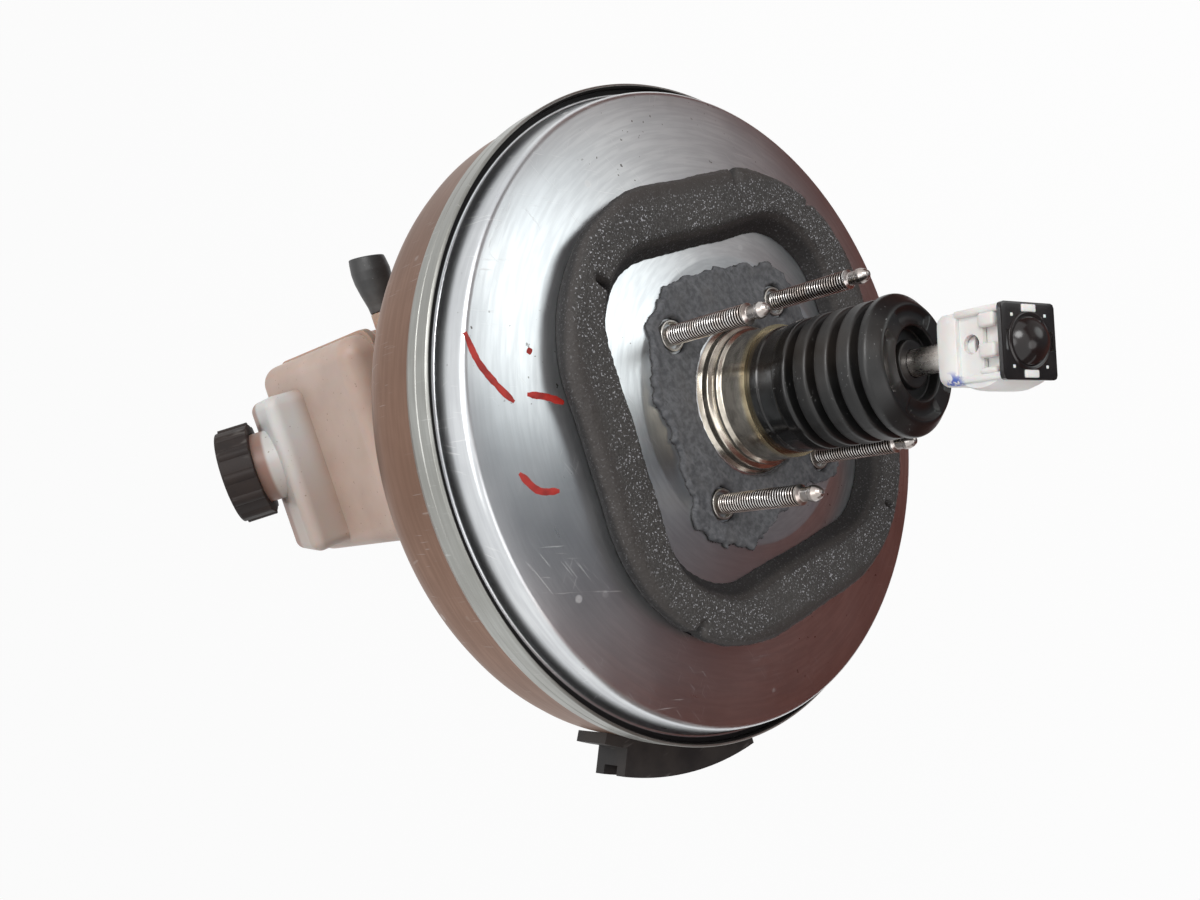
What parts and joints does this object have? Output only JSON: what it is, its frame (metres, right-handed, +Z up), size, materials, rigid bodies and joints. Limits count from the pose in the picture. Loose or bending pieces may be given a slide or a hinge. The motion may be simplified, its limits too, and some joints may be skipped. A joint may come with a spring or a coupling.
{
  "type": "brake booster",
  "caption": "Vacuum brake booster: round stepped metal shells, rubber boot and pushrod with pedal clip, four mounting studs, master cylinder and fluid reservoir.",
  "frame": {"origin": "centre of the four-stud pattern on the flat mounting face of the rear shell", "axes": "+Y forward along the booster axis to the master cylinder, studs and pushrod to -Y; +Z up towards the reservoir; +X across, towards the reservoir's side spout"},
  "size_m": [0.2955, 0.35, 0.2844],
  "materials": {
    "shell_metal": "bare sheet metal, satin, lightly scratched",
    "zinc_steel": "zinc plated steel",
    "plain_steel": "plain turned steel, lightly oiled",
    "spring_steel": "drawn spring wire",
    "cast_aluminium": "as cast aluminium",
    "foam": "open charcoal foam",
    "mastic": "rough dark grey sealing putty",
    "black_rubber": "moulded black rubber",
    "soft_black_rubber": "matt black sheet rubber",
    "white_nylon": "white moulded nylon",
    "gloss_black": "gloss black moulded plastic",
    "tank_white": "milky translucent plastic",
    "cap_black": "black ribbed plastic",
    "valve_brown": "dark moulded resin",
    "black_plastic": "black moulded plastic",
    "felt": "pale filter felt",
    "mesh_white": "white moulded mesh"
  },
  "bodies": {
    "housing": {"boot": "black_rubber", "diaphragm": "soft_black_rubber", "flange_nuts": "zinc_steel", "flange_seal": "black_rubber", "front_shell": "shell_metal", "front_studs": "zinc_steel", "level_switch": "black_plastic", "line_bracket": "black_plastic", "master_cylinder": "cast_aluminium", "mounting_foam": "foam", "mounting_studs": "zinc_steel", "neck_guide": "black_plastic", "neck_seal": "black_rubber", "piston_circlip": "spring_steel", "primary_spring": "spring_steel", "rear_shell": "shell_metal", "reservoir": "tank_white", "reservoir_grommets": "black_rubber", "reservoir_top": "tank_white", "retaining_pin": "zinc_steel", "return_spring": "spring_steel", "seal_retainer": "plain_steel", "sealing_mastic": "mastic", "secondary_spring": "spring_steel", "spout_hose": "black_rubber", "strainer": "mesh_white", "stud_collars": "zinc_steel", "stud_plate": "plain_steel", "vacuum_grommet": "black_rubber"},
    "power_piston": {"valve_body": "valve_brown", "stop_key": "plain_steel", "poppet_valve": "black_rubber", "poppet_retainer": "black_plastic", "poppet_spring": "spring_steel", "air_filter": "felt", "reaction_disc": "soft_black_rubber", "output_rod": "plain_steel", "rod_retainer": "zinc_steel", "diaphragm_plate": "zinc_steel"},
    "input": {"input_rod": "plain_steel", "valve_plunger": "plain_steel", "spring_seat": "plain_steel", "rod_spring": "spring_steel"},
    "pedal_clip": {"clip_cage": "white_nylon", "clip_plate": "gloss_black"},
    "primary": {"primary_piston": "cast_aluminium", "primary_cups": "black_rubber"},
    "secondary": {"secondary_piston": "cast_aluminium", "secondary_cups": "black_rubber"},
    "seal_carrier": {"cap_seal": "soft_black_rubber"},
    "cap": {"filler_cap": "cap_black"},
    "fluid_float": {"level_float": "white_nylon"},
    "vacuum_inlet": {"vacuum_elbow": "black_plastic", "check_spring": "spring_steel"},
    "inlet_disc": {"check_disc": "soft_black_rubber"}
  },
  "joints": [
    {"name": "booster_stroke", "type": "slide", "parent": "housing", "child": "power_piston", "axis": [0, 1, 0], "range_m": [0, 0.032], "stiffness_N_per_m": 2000, "springref_m": -0.04, "deforming": ["boot", "diaphragm", "return_spring"]},
    {"name": "valve_stroke", "type": "slide", "parent": "power_piston", "child": "input", "axis": [0, 1, 0], "range_m": [0, 0.0015], "stiffness_N_per_m": 1500, "springref_m": -0.006, "deforming": ["rod_spring", "poppet_spring"]},
    {"name": "clip_swivel", "type": "hinge", "parent": "input", "child": "pedal_clip", "pos_m": [0, -0.106, 0], "axis": [1, 0, 0], "range_deg": [-5, 20]},
    {"name": "primary_stroke", "type": "slide", "parent": "housing", "child": "primary", "axis": [0, 1, 0], "range_m": [0, 0.032], "deforming": ["primary_spring"]},
    {"name": "secondary_stroke", "type": "slide", "parent": "housing", "child": "secondary", "axis": [0, 1, 0], "range_m": [0, 0.0145], "deforming": ["secondary_spring"]},
    {"name": "cap_lift", "type": "slide", "parent": "housing", "child": "seal_carrier", "axis": [0, 0.5592, 0.829], "range_m": [0, 0.03]},
    {"name": "cap_turn", "type": "hinge", "parent": "seal_carrier", "child": "cap", "pos_m": [0.031, 0.19, 0.114], "axis": [0, 0.5592, 0.829], "range_deg": [0, 180]},
    {"name": "float_rise", "type": "slide", "parent": "housing", "child": "fluid_float", "axis": [0, 0, 1], "range_m": [0, 0.03]},
    {"name": "inlet_swivel", "type": "hinge", "parent": "housing", "child": "vacuum_inlet", "pos_m": [-0.07, 0.10415, -0.066], "axis": [0, 1, 0], "range_deg": [-40, 40]},
    {"name": "check_lift", "type": "slide", "parent": "vacuum_inlet", "child": "inlet_disc", "axis": [0, 1, 0], "range_m": [0, 0.002], "stiffness_N_per_m": 50, "springref_m": -0.002, "deforming": ["check_spring"]}
  ],
  "couplings": [
    {"joint": "primary_stroke", "follows": "booster_stroke", "ratio": 1},
    {"joint": "secondary_stroke", "follows": "booster_stroke", "ratio": 0.44}
  ]
}
